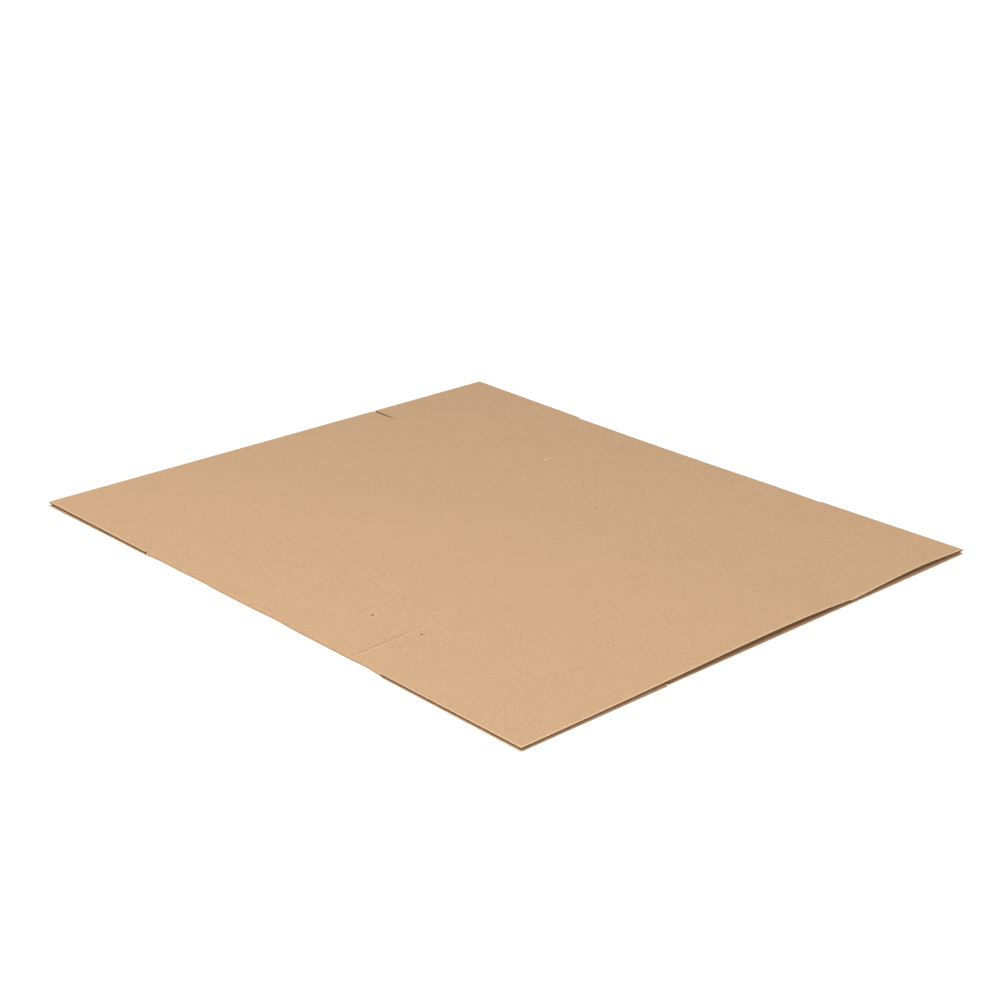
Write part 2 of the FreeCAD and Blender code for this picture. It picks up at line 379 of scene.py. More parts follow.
class PressedBoard:
    """Where each point of the board lies once the carton is pressed flat.

    A point is named by its place across a layer, its place along the flutes and its
    depth below the board's outer face.
    """

    def __init__(self, sizes):
        self.sizes = sizes
        self.half_body = sizes.half_length - sizes.flap_depth
        self.radius = (2 * sizes.board + sizes.fold_gap) / 2
        self.fold_start = sizes.half_width - sizes.fold_inset - self.radius
        self.crease_x = sizes.half_width - sizes.narrow_panel
        self.joint_x = sizes.narrow_panel - sizes.half_width
        self.spare_y = sizes.spare_crease - self.half_body
        self.body_gap = {"left": sizes.fold_gap, "crease": (BODY_CREASE_GAP, BODY_CREASE_GAP),
                         "right": sizes.fold_gap, "wide": BODY_WIDE_BOW, "narrow": BODY_NARROW_BOW}

    def profile(self, x, left, crease, right, wide, narrow):
        """A gap across the layer, from one of the gap tables."""
        inside = max(-self.fold_start, min(self.fold_start, x))
        if inside <= self.crease_x:
            share = (inside + self.fold_start) / (self.crease_x + self.fold_start)
            return bowed(share, left, crease[0], *wide)
        share = (inside - self.crease_x) / (self.fold_start - self.crease_x)
        return bowed(share, crease[1], right, *narrow)

    def gap(self, x, y):
        """Gap between the layers: even over the body, changing over the flaps to their edges."""
        body = self.profile(x, **self.body_gap)
        beyond = abs(y) - self.half_body
        if beyond <= 0:
            return body
        edge = self.profile(x, **(FRONT_GAP if y < 0 else BACK_GAP))
        return body + (edge - body) * (beyond / self.sizes.flap_depth)

    def spare_line(self, x):
        """Place along the flutes of the spare crease, which bends near the left fold."""
        return self.spare_y - SPARE_BEND * (1 - eased(x, -self.sizes.half_width, SPARE_BEND_END))

    def relief(self, x, y):
        """Height of the creases' beads and valleys above the outer face."""
        from_spare = y - self.spare_line(x)
        sharp = 1 - eased(x, *SHARP_RELIEF)
        score = SCORE_DEPTH * hump(abs(y) - self.half_body, SCORE_REACH)
        return crease_line(from_spare, sharp, BEAD) - crease_line(from_spare, sharp, VALLEY) - score

    def crease_shade_and_highlight(self, x, y):
        """How strongly the spare crease's painted shade and the painted highlight on its bead show, up to
        the folds.
        """
        from_spare = y - self.spare_line(x)
        sharp = 1 - eased(x, *SHARP_MARKS)
        fold = self.fold_start
        flat = 1 - eased(abs(x), fold - MARKS_INSIDE_FOLD, fold + MARKS_ON_FOLD)
        dark = crease_line(from_spare, sharp, CREASE_PAINTED_SHADE) * flat
        pale = crease_line(from_spare, sharp, BEAD_PAINTED_HIGHLIGHT) * flat
        return dark, pale

    def dented_fold(self, side, y):
        """Where the fold starts on one side, with its dents."""
        dents = sum(depth * hump(y - place, reach) for at, place, depth, reach in FOLD_DENTS if at == side)
        return self.fold_start - dents

    def side(self, side, y, flare):
        """Distance from the middle to the layer's side: the fold, or the flap beyond the score."""
        beyond = abs(y) - self.half_body
        if beyond <= MICRON:
            return self.dented_fold(side, y)
        return self.sizes.half_width - flare * (1 - beyond / self.sizes.flap_depth)

    def across(self, layer, column, y):
        """Place across the layer, pulled to the sides and to the leaning slot."""
        sizes = self.sizes
        upper = layer == "upper"
        side = -1 if column < 0 else 1
        wide_side = (side < 0) == upper
        flare = sizes.wide_flare if wide_side else sizes.narrow_flare
        from_side = hump(column - side * self.fold_start, SIDE_PULL)
        pulled = (self.side(side, y, flare) - self.fold_start) * from_side
        middle = self.crease_x if upper else self.joint_x
        lean = sizes.slot_lean * y if upper else 0.0
        leaning = lean * hump(column - middle, LEAN_PULL)
        return column + side * pulled + leaning + self.slot_shift(layer, column - middle, y)

    def slot_shift(self, layer, from_middle, y):
        """How a slot's sides stand apart near its open mouth."""
        sizes = self.sizes
        near = hump(from_middle, LIP_PULL)
        edge = sizes.half_length
        if layer == "upper" and y > 0 and from_middle < 0:
            return -sizes.mouth * near * (1 - min(1.0, (edge - y) / sizes.mouth_depth) ** MOUTH_CURVE)
        if layer == "upper" and y < 0:
            opened = SLIT_GAPE * eased(-y, *GAPE_STARTS) * (1 - eased(-y, *GAPE_ENDS))
            return math.copysign(opened, from_middle) * near
        if layer == "lower" and y < 0 and from_middle > 0:
            return sizes.under_mouth * near * max(0.0, 1 - (edge + y) / sizes.under_mouth_depth)
        return 0.0

    def along(self, layer, column, y):
        """Place along the flutes, with the short under flap and the bent spare crease."""
        sizes = self.sizes
        placed = y + (self.spare_line(column) - self.spare_y) * hump(y - self.spare_y, SPARE_PULL)
        if layer == "lower" and column > self.joint_x and y < -self.half_body:
            across = (column - self.joint_x) / (self.fold_start - self.joint_x)
            placed += sizes.setback * (1 - SETBACK_TAPER * across) * (-y - self.half_body) / sizes.flap_depth
        return placed

    def pressed(self, layer, column, y):
        """How much thinner the board is beside its cut edges."""
        most = self.sizes.edge_press if layer == "upper" else self.sizes.lower_press
        end = most * hump(self.sizes.half_length - abs(y), PRESSED_END)
        flap = eased(abs(y), self.half_body, self.half_body + PRESSED_FROM_SCORE)
        side = self.sizes.edge_press * flap * hump(self.fold_start - abs(column), PRESSED_SIDE)
        return max(end, side)

    def rubbed_and_highlit(self, x, y, on_rim, reach):
        """How pale the paper is at a cut edge, partly from rubbing and partly as painted light: strongest at
        a cut edge, none along a closed slit.
        """
        from_end = self.sizes.half_length - abs(y)
        if on_rim and abs(abs(x) - self.crease_x) < UNPALED_SLIT and from_end > UNPALED_END:
            return 0.0
        on_flap = abs(y) > self.half_body
        from_side = self.sizes.half_width - abs(x) if on_flap else self.sizes.half_width
        return hump(min(from_side, from_end), reach)

    def place(self, layer, column, y, depth):
        """The point at a column, a row and a depth below the outer face."""
        x = self.across(layer, column, y)
        placed_y = self.along(layer, column, y)
        depth *= 1 - self.pressed(layer, column, y)
        if layer == "lower":
            pressed_in = max(0.0, -self.relief(x, placed_y)) * (1 - depth / self.sizes.board)
            return Vector((x, placed_y, depth + pressed_in))
        top = 2 * self.sizes.board + self.gap(column, y)
        fade = 1 - RELIEF_FADE * depth / self.sizes.board
        return Vector((x, placed_y, top - depth + self.relief(x, placed_y) * fade))

    def fold_point(self, side, angle, y, depth):
        """A point on the round of a pressed fold, from the upper layer at 90 degrees down."""
        reach = self.radius - depth
        start = self.dented_fold(side, y)
        rise = self.relief(side * start, y) * max(0.0, math.sin(angle))
        placed_y = self.along("upper", side * self.fold_start, y)
        return Vector((side * (start + reach * math.cos(angle)), placed_y,
                       self.radius + reach * math.sin(angle) + rise))

    def rows(self):
        """Places along the flutes where the liners have points, close together at each crease."""
        edge = self.sizes.half_length
        places = spaced(-edge, edge, round(2 * edge / self.sizes.row_step))
        for middle in (self.half_body, -self.half_body):
            places += [middle + offset * MM for offset in SCORE_POINTS]
        places += [self.spare_y + offset * MM for offset in SPARE_POINTS]
        places += [end * (edge - offset * MM) for end in (-1, 1) for offset in EDGE_POINTS]
        return thinned(places, (-edge, edge, self.half_body, -self.half_body), LEAST_STEP)

    def parting(self, layer):
        """Where a layer's two panels meet, and half the gap between them in the flaps."""
        if layer == "upper":
            return self.crease_x, self.sizes.slit / 2
        return self.joint_x, self.sizes.joint_gap / 2

    def columns(self, layer):
        """Places across a layer, from left to right, with a pair at the slot's two sides."""
        middle, half = self.parting(layer)
        step = self.sizes.column_step
        left = spaced(-self.fold_start, middle - half, round((middle + self.fold_start) / step))
        right = spaced(middle + half, self.fold_start, round((self.fold_start - middle) / step))
        close = [side * (self.fold_start - offset * MM) for side in (-1, 1) for offset in EDGE_POINTS]
        close += [middle + side * (half + offset * MM) for side in (-1, 1) for offset in EDGE_POINTS]
        wanted = (-self.fold_start, middle - half, middle + half, self.fold_start)
        return thinned(left + right + close, wanted, LEAST_STEP)


def new_object(name, data):
    """A new object in the scene."""
    made = bpy.data.objects.new(name, data)
    bpy.context.scene.collection.objects.link(made)
    return made


def evaluated_mesh(maker):
    """The mesh that an object's modifiers make."""
    return bpy.data.meshes.new_from_object(maker.evaluated_get(bpy.context.evaluated_depsgraph_get()))


def finished_mesh(name, shape):
    """A mesh from a bmesh that isn't needed any more."""
    mesh = bpy.data.meshes.new(name)
    shape.to_mesh(mesh)
    shape.free()
    return mesh


def make_piece(name, mesh, material):
    """A finished object that rides on the carton's body."""
    piece = new_object(name, mesh)
    mesh.materials.clear()
    mesh.materials.append(material)
    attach(piece, BODY)
    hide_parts(NODE)
    return piece


def with_modifiers(piece):
    """Bake the piece's modifiers into its mesh."""
    mesh = evaluated_mesh(piece)
    mesh.name = piece.name
    piece.modifiers.clear()
    piece.data = mesh
    return mesh


def thicken(piece, thickness, offset):
    """Give a sheet its thickness, with its rims closed."""
    solid = piece.modifiers.new("Thickness", "SOLIDIFY")
    solid.thickness = thickness
    solid.offset = offset
    solid.use_rim = True
    mesh = with_modifiers(piece)
    mesh.shade_smooth()
    mesh.set_sharp_from_angle(angle=SHARP_EDGE)
    return mesh


class LinerGrid:
    """One liner as a sheet that runs over the upper layer, round both folds and back below.

    Each line of points runs along the flutes. It is kept with its layer and its column, and
    gaps says for each pair of neighbouring lines whether a slot lies between them.
    """

    ARC_STEPS = 10

    def __init__(self, board, depth):
        self.board = board
        self.depth = depth
        self.rows = board.rows()
        self.mesh = bmesh.new()
        self.lines = []
        self.gaps = []

    def add_layer(self, layer, columns):
        """The lines of one layer, from its first column to its last."""
        middle = self.board.crease_x if layer == "upper" else self.board.joint_x
        for column in columns:
            if self.lines and layer == self.lines[-1][0]:
                before = self.lines[-1][2]
                self.gaps.append((before - middle) * (column - middle) < 0)
            elif self.lines:
                self.gaps.append(False)
            line = [self.mesh.verts.new(self.board.place(layer, column, y, self.depth)) for y in self.rows]
            self.lines.append((layer, line, column))

    def add_fold(self, side):
        """The round of a fold, between the last line and the next layer."""
        angles = spaced(math.pi / 2, -math.pi / 2, self.ARC_STEPS)[1:-1]
        if side < 0:
            angles.reverse()
        for angle in angles:
            self.gaps.append(False)
            points = [self.board.fold_point(side, angle, y, self.depth) for y in self.rows]
            self.lines.append(("fold", [self.mesh.verts.new(point) for point in points], 0.0))

    def in_body(self, row):
        """Whether a row lies between the two scores."""
        half = self.board.half_body + MICRON
        return -half <= self.rows[row] and self.rows[row + 1] <= half

    def joined(self, first, second, slotted, row):
        """Whether the board is whole between two lines at a row."""
        kinds = {first[0], second[0]}
        if "fold" in kinds:
            return self.in_body(row)
        if slotted:
            return first[0] == "upper" and self.in_body(row)
        return True

    def build(self):
        """The whole sheet, closed round the carton."""
        self.add_layer("upper", self.board.columns("upper"))
        self.add_fold(1)
        self.add_layer("lower", list(reversed(self.board.columns("lower"))))
        self.add_fold(-1)
        self.gaps.append(False)
        around = self.lines + [self.lines[0]]
        for first, second, slotted in zip(around, around[1:], self.gaps):
            for row in range(len(self.rows) - 1):
                if self.joined(first, second, slotted, row):
                    near, far = first[1], second[1]
                    self.mesh.faces.new((near[row], far[row], far[row + 1], near[row + 1]))
        loose = [vert for vert in self.mesh.verts if not vert.link_faces]
        bmesh.ops.delete(self.mesh, geom=loose, context="VERTS")
        return self.mesh


def mark_wear_and_painted_light(sheet, board, inside):
    """Write each point's share of the pale cut edge, partly rubbing and partly painted light, and of the
    spare crease's painted shade and painted highlight.
    """
    rim = sheet.verts.layers.float.new("rim")
    dark = sheet.verts.layers.float.new("crease_painted_shade")
    pale = sheet.verts.layers.float.new("crease_painted_highlight")
    reach = INNER_RUB_AND_LIGHT if inside else OUTER_RUB_AND_HIGHLIGHT
    for vert in sheet.verts:
        on_rim = any(edge.is_boundary for edge in vert.link_edges)
        # The upper layer's inner liner gets no pale rim, so the upper cut edge stays dark as shade
        shaded = inside and vert.co.z > board.sizes.board
        vert[rim] = 0.0 if shaded else board.rubbed_and_highlit(vert.co.x, vert.co.y, on_rim, reach)
        vert[dark], vert[pale] = board.crease_shade_and_highlight(vert.co.x, vert.co.y)


def flute_tree(material):
    """Geometry nodes that repeat one flute across a sheet of medium."""
    board, given, result = new_group(
        "Fluted medium",
        {"Flutes": "Int", "Pitch": "Float", "Height": "Float",
         "Length": "Float", "Rows": "Int", "Samples": "Int"},
        {"Geometry": "Geometry"}, "GeometryNodeTree")
    one = board.add("GeometryNodeMeshGrid")
    board.set_inputs(one, {"Size X": given["Pitch"], "Size Y": given["Length"], "Vertices Y": given["Rows"],
                           "Vertices X": board.maths("ADD", given["Samples"], 1)})
    parts = board.add("ShaderNodeSeparateXYZ")
    board.feed(board.add("GeometryNodeInputPosition").outputs[0], parts.inputs[0])
    turn = board.maths("DIVIDE", board.maths("MULTIPLY", parts.outputs["X"], 2 * math.pi), given["Pitch"])
    half_height = board.maths("MULTIPLY", given["Height"], 0.5)
    lift = board.add("ShaderNodeCombineXYZ")
    board.feed(board.maths("MULTIPLY", board.maths("COSINE", turn), half_height), lift.inputs["Z"])
    rippled = board.add("GeometryNodeSetPosition")
    board.set_inputs(rippled, {"Geometry": one.outputs["Mesh"], "Offset": lift.outputs[0]})

    step = board.add("ShaderNodeCombineXYZ")
    board.feed(given["Pitch"], step.inputs["X"])
    row = board.add("GeometryNodeMeshLine")
    board.set_inputs(row, {"Count": given["Flutes"], "Offset": step.outputs[0]})
    repeated = board.add("GeometryNodeInstanceOnPoints")
    board.set_inputs(repeated, {"Points": row.outputs["Mesh"], "Instance": rippled.outputs["Geometry"]})
    real = board.add("GeometryNodeRealizeInstances")
    board.feed(repeated.outputs["Instances"], real.inputs["Geometry"])
    merged = board.add("GeometryNodeMergeByDistance")
    board.set_inputs(merged, {"Geometry": real.outputs["Geometry"], "Distance": MERGE_DISTANCE})
    finish = board.add("GeometryNodeSetMaterial")
    board.set_inputs(finish, {"Geometry": merged.outputs["Geometry"], "Material": material})
    board.feed(finish.outputs["Geometry"], result["Geometry"])
    return board.tree


def baked_flutes(tree, values):
    """Run the flute tree with its named inputs and return the plain mesh."""
    maker = new_object("Flute maker", bpy.data.meshes.new("Flute maker"))
    modifier = maker.modifiers.new("Flutes", "NODES")
    modifier.node_group = tree
    for item in tree.interface.items_tree:
        if item.in_out == "INPUT":
            modifier[item.identifier] = values[item.name]
    mesh = evaluated_mesh(maker)
    bpy.data.objects.remove(maker)
    return mesh


def lay_flutes(board, tree, layer, start, end):
    """Rippled medium of one panel, laid between its liners."""
    sizes = board.sizes
    flutes = round((end - start) / sizes.pitch)
    pitch = (end - start) / flutes
    edge, score = sizes.half_length, board.half_body
    rows = [-edge, -0.5 * (edge + score), -score - MEDIUM_SCORE_STEP, -score, board.spare_y, 0.0,
            score, score + MEDIUM_SCORE_STEP, edge - sizes.mouth_depth, edge]
    height = sizes.board - 2 * sizes.liner - sizes.medium
    mesh = baked_flutes(tree, {"Flutes": flutes, "Pitch": pitch, "Height": height, "Rows": len(rows),
                               "Length": 2 * edge, "Samples": sizes.flute_samples})
    for vert in mesh.vertices:
        share = (vert.co.y + edge) / (2 * edge)
        y = rows[round(share * (len(rows) - 1))]
        if abs(abs(y) - edge) < MICRON:
            y -= math.copysign(MEDIUM_INSET, y)
        column = min(end - MEDIUM_INSET, max(start + MEDIUM_INSET, start + vert.co.x + pitch / 2))
        above = vert.co.z if layer == "lower" else -vert.co.z
        vert.co = board.place(layer, column, y, sizes.board / 2 + above)
    if layer == "lower":
        mesh.flip_normals()
    return mesh


def joined_mesh(name, meshes):
    """Several meshes as one."""
    whole = bmesh.new()
    for mesh in meshes:
        whole.from_mesh(mesh)
    return finished_mesh(name, whole)


class NodeBoard:
    """A small helper to place and link nodes."""

    def __init__(self, tree):
        self.tree = tree

    def add(self, kind, **settings):
        """A new node with some of its settings."""
        node = self.tree.nodes.new(kind)
        for name, value in settings.items():
            setattr(node, name, value)
        return node

    def feed(self, value, socket):
        """Link a socket's value, or set a plain one."""
        if isinstance(value, bpy.types.NodeSocket):
            self.tree.links.new(value, socket)
        elif value is not None:
            socket.default_value = value

    def set_inputs(self, node, values):
        """Feed several inputs of a node, by name or by place."""
        for socket, value in values.items():
            self.feed(value, node.inputs[socket])

    def maths(self, operation, first, second=None, clamp=False):
        """One sum, product or the like of values."""
        node = self.add("ShaderNodeMath", operation=operation, use_clamp=clamp)
        self.feed(first, node.inputs[0])
        self.feed(second, node.inputs[1])
        return node.outputs[0]

    def remap(self, value, low, high, to_low=0.0, to_high=1.0):
        """A value moved smoothly from one range to another."""
        node = self.add("ShaderNodeMapRange", interpolation_type="SMOOTHSTEP")
        self.set_inputs(node, {"Value": value, "From Min": low, "From Max": high,
                               "To Min": to_low, "To Max": to_high})
        return node.outputs["Result"]

    def mix(self, share, first, second):
        """Two colours mixed, with a share of the second."""
        node = self.add("ShaderNodeMix", data_type="RGBA")
        self.set_inputs(node, {"Factor": share, "A": first, "B": second})
        return node.outputs["Result"]

    def noise(self, place, scale, detail=2.0, stretch=None):
        """Soft noise at a place, with its own scale along each axis where it is stretched."""
        if stretch:
            mapping = self.add("ShaderNodeMapping")
            self.set_inputs(mapping, {"Vector": place, "Scale": stretch})
            place = mapping.outputs[0]
        node = self.add("ShaderNodeTexNoise")
        self.set_inputs(node, {"Vector": place, "Scale": scale, "Detail": detail})
        return node.outputs["Fac"]


def new_group(name, inputs, outputs, kind="ShaderNodeTree"):
    """An empty node group with named sockets."""
    group = bpy.data.node_groups.new(name, kind)
    for side, sockets in (("INPUT", inputs), ("OUTPUT", outputs)):
        for socket, form in sockets.items():
            group.interface.new_socket(socket, in_out=side, socket_type="NodeSocket" + form)
    board = NodeBoard(group)
    return board, board.add("NodeGroupInput").outputs, board.add("NodeGroupOutput").inputs


def kraft_fibre_group():
    """Mottling, short fibres and height of unbleached kraft paper."""
    board, given, result = new_group(
        "Kraft fibre", {"Place": "Vector", "Grain": "Float"},
        {"Tone": "Float", "Fleck": "Float", "Height": "Float"})
    place = given["Place"]
    fine = board.noise(place, FINE_SCALE, 2.0, (1.0, 0.7, 1.0))
    fibres = board.noise(place, FIBRE_SCALE, 2.0, (1.0, 0.45, 1.0))
    cloud = board.noise(place, CLOUD_SCALE, 2.0)
    mottle = board.remap(fine, 0.3, 0.7, -0.46, 0.46)
    tone = board.maths("ADD", mottle, board.remap(fibres, 0.3, 0.7, -0.08, 0.08))
    tone = board.maths("ADD", tone, board.remap(cloud, 0.2, 0.8, -0.03, 0.03))
    board.feed(board.maths("MULTIPLY", tone, given["Grain"]), result["Tone"])

    cells = board.add("ShaderNodeTexVoronoi", feature="F1")
    board.set_inputs(cells, {"Vector": place, "Scale": FLECK_SCALE})
    near = board.remap(cells.outputs["Distance"], FLECK_RIM, FLECK_HEART)
    parts = board.add("ShaderNodeSeparateXYZ")
    board.feed(cells.outputs["Color"], parts.inputs[0])
    chosen = board.maths("GREATER_THAN", parts.outputs["X"], UNFLECKED)
    board.feed(board.maths("MULTIPLY", near, chosen), result["Fleck"])

    height = board.maths("ADD", board.maths("MULTIPLY", fine, 0.6), board.maths("MULTIPLY", fibres, 0.4))
    board.feed(height, result["Height"])


def speck_group():
    """A round mask of a set radius about a set place, a little ragged at its rim."""
    board, given, result = new_group(
        "Pressed speck", {"Place": "Vector", "Middle": "Vector", "Radius": "Float"}, {"Mask": "Float"})
    away = board.add("ShaderNodeVectorMath", operation="DISTANCE")
    flat = board.add("ShaderNodeVectorMath", operation="MULTIPLY")
    board.set_inputs(flat, {0: given["Place"], 1: (1.0, 1.0, SPECK_HEIGHT_SHARE)})
    board.set_inputs(away, {0: flat.outputs[0], 1: given["Middle"]})
    ragged = board.maths("MULTIPLY", board.noise(given["Place"], RAGGED_SCALE, 1.0), given["Radius"])
    reach = board.maths("ADD", board.maths("MULTIPLY", given["Radius"], 0.6), ragged)
    inner = board.maths("MULTIPLY", reach, 0.55)
    board.feed(board.remap(away.outputs["Value"], reach, inner), result["Mask"])


def kraft_wear_and_light_group():
    """Paper with painted shade in the spare crease, a painted highlight along its bead, and pale cut edges
    that are partly rubbed and partly painted light.
    """
    board, given, result = new_group(
        "Kraft wear and painted light",
        {"Paper": "Color", "Crease shade": "Color", "Rub and highlight": "Color",
         "Crease": "Float", "Bead": "Float", "Rim": "Float"},
        {"Paper": "Color"})
    creased = board.mix(given["Crease"], given["Paper"], given["Crease shade"])
    beaded = board.mix(given["Bead"], creased, given["Rub and highlight"])
    board.feed(board.mix(given["Rim"], beaded, given["Rub and highlight"]), result["Paper"])


def made_groups():
    """The shader groups, made once and shared by every paper."""
    makers = {"Kraft fibre": kraft_fibre_group, "Pressed speck": speck_group, "Kraft wear and painted light": kraft_wear_and_light_group}
    for name, maker in makers.items():
        if name not in bpy.data.node_groups:
            maker()
    return {name: bpy.data.node_groups[name] for name in makers}


def with_wear_and_painted_light(board, group, mixed, finish, pale_rim):
    """The paper's colour with the spare crease's painted shade and highlight, and its pale cut edges, partly
    rubbing and partly painted light.
    """
    wear = board.add("ShaderNodeGroup", node_tree=group)
    board.set_inputs(wear, {"Paper": mixed, "Crease shade": opaque(finish.crease_shade_colour),
                            "Rub and highlight": opaque(finish.rub_and_highlight_colour)})
    for socket, mark, share in (("Crease", "crease_painted_shade", CREASE_SHADE_SHARE),
                                ("Bead", "crease_painted_highlight", BEAD_HIGHLIGHT_SHARE), ("Rim", "rim", pale_rim)):
        marked = board.add("ShaderNodeAttribute", attribute_name=mark).outputs["Fac"]
        board.feed(board.maths("MULTIPLY", marked, share), wear.inputs[socket])
    return wear.outputs["Paper"]


def with_specks(board, group, mixed, place):
    """The paper's colour with the specks pressed into the upper face."""
    for label, (x, y), radius, tint in SPECKS:
        speck = board.add("ShaderNodeGroup", node_tree=group, label=label)
        middle = (x, y, SPECK_HEIGHT * SPECK_HEIGHT_SHARE)
        board.set_inputs(speck, {"Place": place, "Middle": middle, "Radius": radius})
        mixed = board.mix(speck.outputs["Mask"], mixed, tint)
    return mixed


def paper(name, colour, finish, pale_rim=0.0, specks=False):
    """A kraft paper material with its own colour."""
    groups = made_groups()
    material = bpy.data.materials.new(name)
    material.use_nodes = True
    board = NodeBoard(material.node_tree)
    shader = material.node_tree.nodes["Principled BSDF"]
    place = board.add("ShaderNodeTexCoord").outputs["Object"]
    fibre = board.add("ShaderNodeGroup", node_tree=groups["Kraft fibre"])
    board.set_inputs(fibre, {"Place": place, "Grain": finish.grain})
    tone = fibre.outputs["Tone"]
    centred = board.maths("ADD", tone, 0.5, True)
    mixed = board.mix(centred, opaque(colour, DEEP_TONE), opaque(colour, PALE_TONE))
    flecked = board.maths("MULTIPLY", fibre.outputs["Fleck"], FLECK_SHARE)
    mixed = board.mix(flecked, mixed, opaque(colour, FLECK_TONE))
    if pale_rim:
        mixed = with_wear_and_painted_light(board, groups["Kraft wear and painted light"], mixed, finish, pale_rim)
    if specks:
        mixed = with_specks(board, groups["Pressed speck"], mixed, place)
    rough = board.maths("ADD", board.maths("MULTIPLY", tone, ROUGH_SPREAD), finish.roughness)
    bump = board.add("ShaderNodeBump")
    board.set_inputs(bump, {"Strength": BUMP, "Distance": FIBRE_HEIGHT, "Height": fibre.outputs["Height"]})
    board.set_inputs(shader, {"Base Color": mixed, "Roughness": rough, "Specular IOR Level": GLOSS,
                              "Normal": bump.outputs[0]})
    return material


def current(context):
    """The pressed board and the finish as the scene's settings give them."""
    scene = context.scene
    return PressedBoard(scene.carton_sizes), scene.carton_finish


def make_liner(name, board, depth, material):
    """One liner at a depth below the board's outer face."""
    sheet = LinerGrid(board, depth).build()
    mark_wear_and_painted_light(sheet, board, depth > 0)
    thicken(make_piece(name, finished_mesh(name, sheet), material), board.sizes.liner, -1.0)


class CARTON_OT_outer_liner(bpy.types.Operator):
    """Make the smooth outer liner, which runs round both folds"""

    bl_idname = "carton.outer_liner"
    bl_label = "Outer liner"

    def execute(self, context):
        board, finish = current(context)
        material = paper("Outer kraft liner", finish.liner_colour, finish, finish.outer_rub_and_highlight, specks=True)
        make_liner("outer_liner", board, 0.0, material)
        return {"FINISHED"}


class CARTON_OT_inner_liner(bpy.types.Operator):
    """Make the inner liner, on the carton's inside"""

    bl_idname = "carton.inner_liner"
    bl_label = "Inner liner"

    def execute(self, context):
        board, finish = current(context)
        material = paper("Inner kraft liner", finish.inside_colour, finish, finish.inner_rub_and_light)
        make_liner("inner_liner", board, board.sizes.board - board.sizes.liner, material)
        return {"FINISHED"}


class CARTON_OT_medium(bpy.types.Operator):
    """Make the wavy medium of each layer between its liners"""

    bl_idname = "carton.medium"
    bl_label = "Fluted medium"

    def execute(self, context):
        board, finish = current(context)
        # The upper medium gets a shaded colour and the lower medium a lit one: painted shade and painted
        # light on the cut edges
        for layer, colour in (("upper", finish.upper_medium_shade_colour), ("lower", finish.lower_medium_lit_colour)):
            middle, half = board.parting(layer)
            material = paper("Kraft medium, " + layer, colour, finish)
            tree = flute_tree(material)
            panels = [lay_flutes(board, tree, layer, -board.fold_start, middle - half),
                      lay_flutes(board, tree, layer, middle + half, board.fold_start)]
            piece = make_piece(layer + "_medium", joined_mesh(layer + "_medium", panels), material)
            thicken(piece, board.sizes.medium, 0.0)
        return {"FINISHED"}


class CARTON_OT_glue_tab(bpy.types.Operator):
    """Make the glued tab inside the carton"""

    bl_idname = "carton.glue_tab"
    bl_label = "Glue tab"

    def execute(self, context):
        board, finish = current(context)
        sizes = board.sizes
        material = paper("Pressed kraft tab", finish.inside_colour, finish)
        left, right = board.joint_x - TAB_SEAT, board.joint_x + sizes.tab_width
        half = board.half_body - TAB_SHORT
        outline = [(left, -half), (board.joint_x, -half), (right, TAB_TAPER - half),
                   (right, half - TAB_TAPER), (board.joint_x, half), (left, half)]
        shape = bmesh.new()
        face = shape.faces.new([shape.verts.new((x, y, sizes.board)) for x, y in outline])
        raised = bmesh.ops.extrude_face_region(shape, geom=[face])
        tops = [item for item in raised["geom"] if isinstance(item, bmesh.types.BMVert)]
        bmesh.ops.translate(shape, verts=tops, vec=(0, 0, sizes.tab_board))
        bmesh.ops.recalc_face_normals(shape, faces=shape.faces)
        piece = make_piece("glue_tab", finished_mesh("glue_tab", shape), material)
        bevel = piece.modifiers.new("Pressed edge", "BEVEL")
        bevel.width = TAB_ROUNDING
        bevel.segments = 2
        with_modifiers(piece)
        return {"FINISHED"}


def lamp(name, place, aim, power):
    """A round soft lamp that looks at a place."""
    light = bpy.data.lights.new(name, "AREA")
    light.shape = "DISK"
    light.size = LAMP_WIDTH
    light.energy = power
    holder = new_object(name, light)
    holder.location = place
    holder.rotation_euler = (Vector(aim) - Vector(place)).to_track_quat("-Z", "Y").to_euler()


def looked_at(board):
    """1 where the camera, a reflection or a glass looks, and 0 for the light on the object."""
    path = board.add("ShaderNodeLightPath").outputs
    seen = board.maths("MAXIMUM", path["Is Camera Ray"], path["Is Glossy Ray"])
    return board.maths("MAXIMUM", seen, path["Is Transmission Ray"])


def white_world(strength):
    """Even light on the object, with plain white where the camera or a reflection looks."""
    world = bpy.data.worlds.new("Studio")
    bpy.context.scene.world = world
    world.use_nodes = True
    tree = world.node_tree
    board = NodeBoard(tree)
    sky = tree.nodes["Background"]
    board.set_inputs(sky, {"Color": WHITE, "Strength": strength})
    seen = board.add("ShaderNodeBackground")
    board.set_inputs(seen, {"Color": WHITE, "Strength": 1.0})
    mix = board.add("ShaderNodeMixShader")
    board.set_inputs(mix, {0: looked_at(board), 1: sky.outputs[0], 2: seen.outputs[0]})
    board.feed(mix.outputs[0], tree.nodes["World Output"].inputs["Surface"])


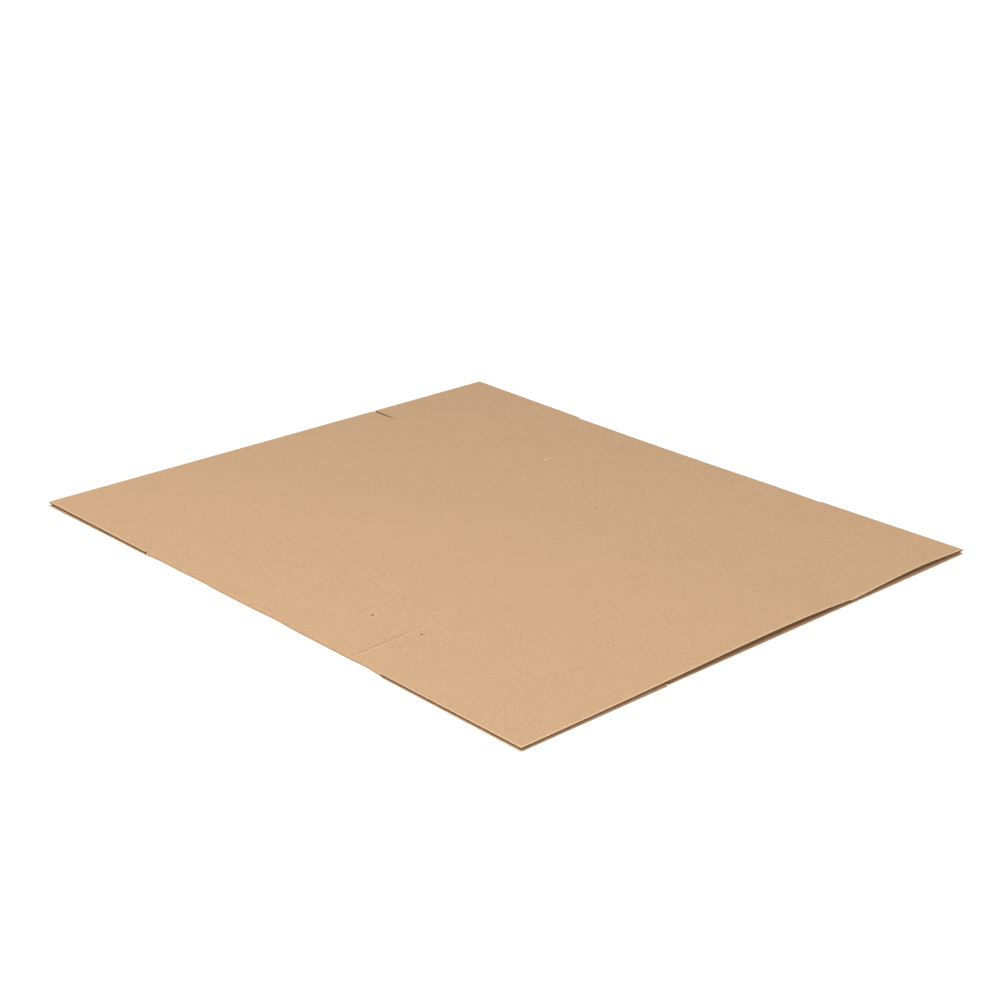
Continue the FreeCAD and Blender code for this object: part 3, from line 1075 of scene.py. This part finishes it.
def white_floor():
    """A pale matt floor that keeps the carton's soft shadow."""
    mesh = bpy.data.meshes.new("floor")
    corners = [(-FLOOR_REACH, -FLOOR_REACH, 0), (FLOOR_REACH, -FLOOR_REACH, 0),
               (FLOOR_REACH, FLOOR_REACH, 0), (-FLOOR_REACH, FLOOR_REACH, 0)]
    mesh.from_pydata(corners, [], [(0, 1, 2, 3)])
    floor = new_object("floor", mesh)
    floor.location.z = -FLOOR_DROP
    material = bpy.data.materials.new("Pale floor")
    material.use_nodes = True
    board = NodeBoard(material.node_tree)
    glow = board.maths("MULTIPLY", looked_at(board), FLOOR_GLOW)
    board.set_inputs(material.node_tree.nodes["Principled BSDF"], {
        "Base Color": FLOOR_PAINT, "Roughness": 1.0, "Specular IOR Level": 0.0,
        "Emission Color": WHITE, "Emission Strength": glow})
    mesh.materials.append(material)


def studio_camera(studio):
    """The camera, turned by its heading, pitch and roll."""
    camera = bpy.data.cameras.new("Camera")
    camera.lens = studio.lens
    camera.sensor_width = SENSOR_WIDTH
    camera.clip_end = 100.0
    holder = new_object("Camera", camera)
    heading, pitch = math.radians(studio.azimuth), math.radians(studio.elevation)
    level = math.cos(pitch)
    forward = Vector((math.sin(heading) * level, math.cos(heading) * level, math.sin(pitch)))
    right = forward.cross(Vector((0, 0, 1))).normalized()
    up = right.cross(forward)
    turn = math.radians(studio.roll)
    tilted_right = right * math.cos(turn) + up * math.sin(turn)
    tilted_up = up * math.cos(turn) - right * math.sin(turn)
    basis = Matrix((tilted_right, tilted_up, -forward)).transposed().to_4x4()
    basis.translation = Vector(studio.camera_place)
    holder.matrix_world = basis
    bpy.context.scene.camera = holder


class CARTON_OT_studio(bpy.types.Operator):
    """Set the floor, the light and the camera"""

    bl_idname = "carton.studio"
    bl_label = "Studio"

    def execute(self, context):
        studio = context.scene.carton_studio
        white_world(studio.sky)
        white_floor()
        lamp("Key", KEY_PLACE, KEY_AIM, studio.key)
        lamp("Fill", FILL_PLACE, FILL_AIM, studio.fill)
        studio_camera(studio)
        context.scene.view_settings.view_transform = "Standard"
        return {"FINISHED"}


class CARTON_PT_panel(bpy.types.Panel):
    """Lists the carton's makers and settings"""

    bl_label = "Carton"
    bl_idname = "CARTON_PT_panel"
    bl_space_type = "VIEW_3D"
    bl_region_type = "UI"
    bl_category = "Carton"

    def draw(self, context):
        scene = context.scene
        for maker in MAKERS:
            self.layout.operator(maker.bl_idname)
        for group in (scene.carton_sizes, scene.carton_finish, scene.carton_studio):
            for name in group.__annotations__:
                self.layout.prop(group, name)


MAKERS = (CARTON_OT_studio, CARTON_OT_outer_liner, CARTON_OT_inner_liner, CARTON_OT_medium,
          CARTON_OT_glue_tab)
CLASSES = (CartonSizes, KraftFinish, StudioSettings) + MAKERS + (CARTON_PT_panel,)


def register():
    """Add the classes and settings."""
    for item in CLASSES:
        bpy.utils.register_class(item)
    bpy.types.Scene.carton_sizes = PointerProperty(type=CartonSizes)
    bpy.types.Scene.carton_finish = PointerProperty(type=KraftFinish)
    bpy.types.Scene.carton_studio = PointerProperty(type=StudioSettings)


def unregister():
    """Take them away again."""
    del bpy.types.Scene.carton_studio
    del bpy.types.Scene.carton_finish
    del bpy.types.Scene.carton_sizes
    for item in reversed(CLASSES):
        bpy.utils.unregister_class(item)


def main():
    """Make the studio and each piece."""
    register()
    bpy.ops.carton.studio()
    bpy.ops.carton.outer_liner()
    bpy.ops.carton.inner_liner()
    bpy.ops.carton.medium()
    bpy.ops.carton.glue_tab()


if __name__ == "__main__":
    main()
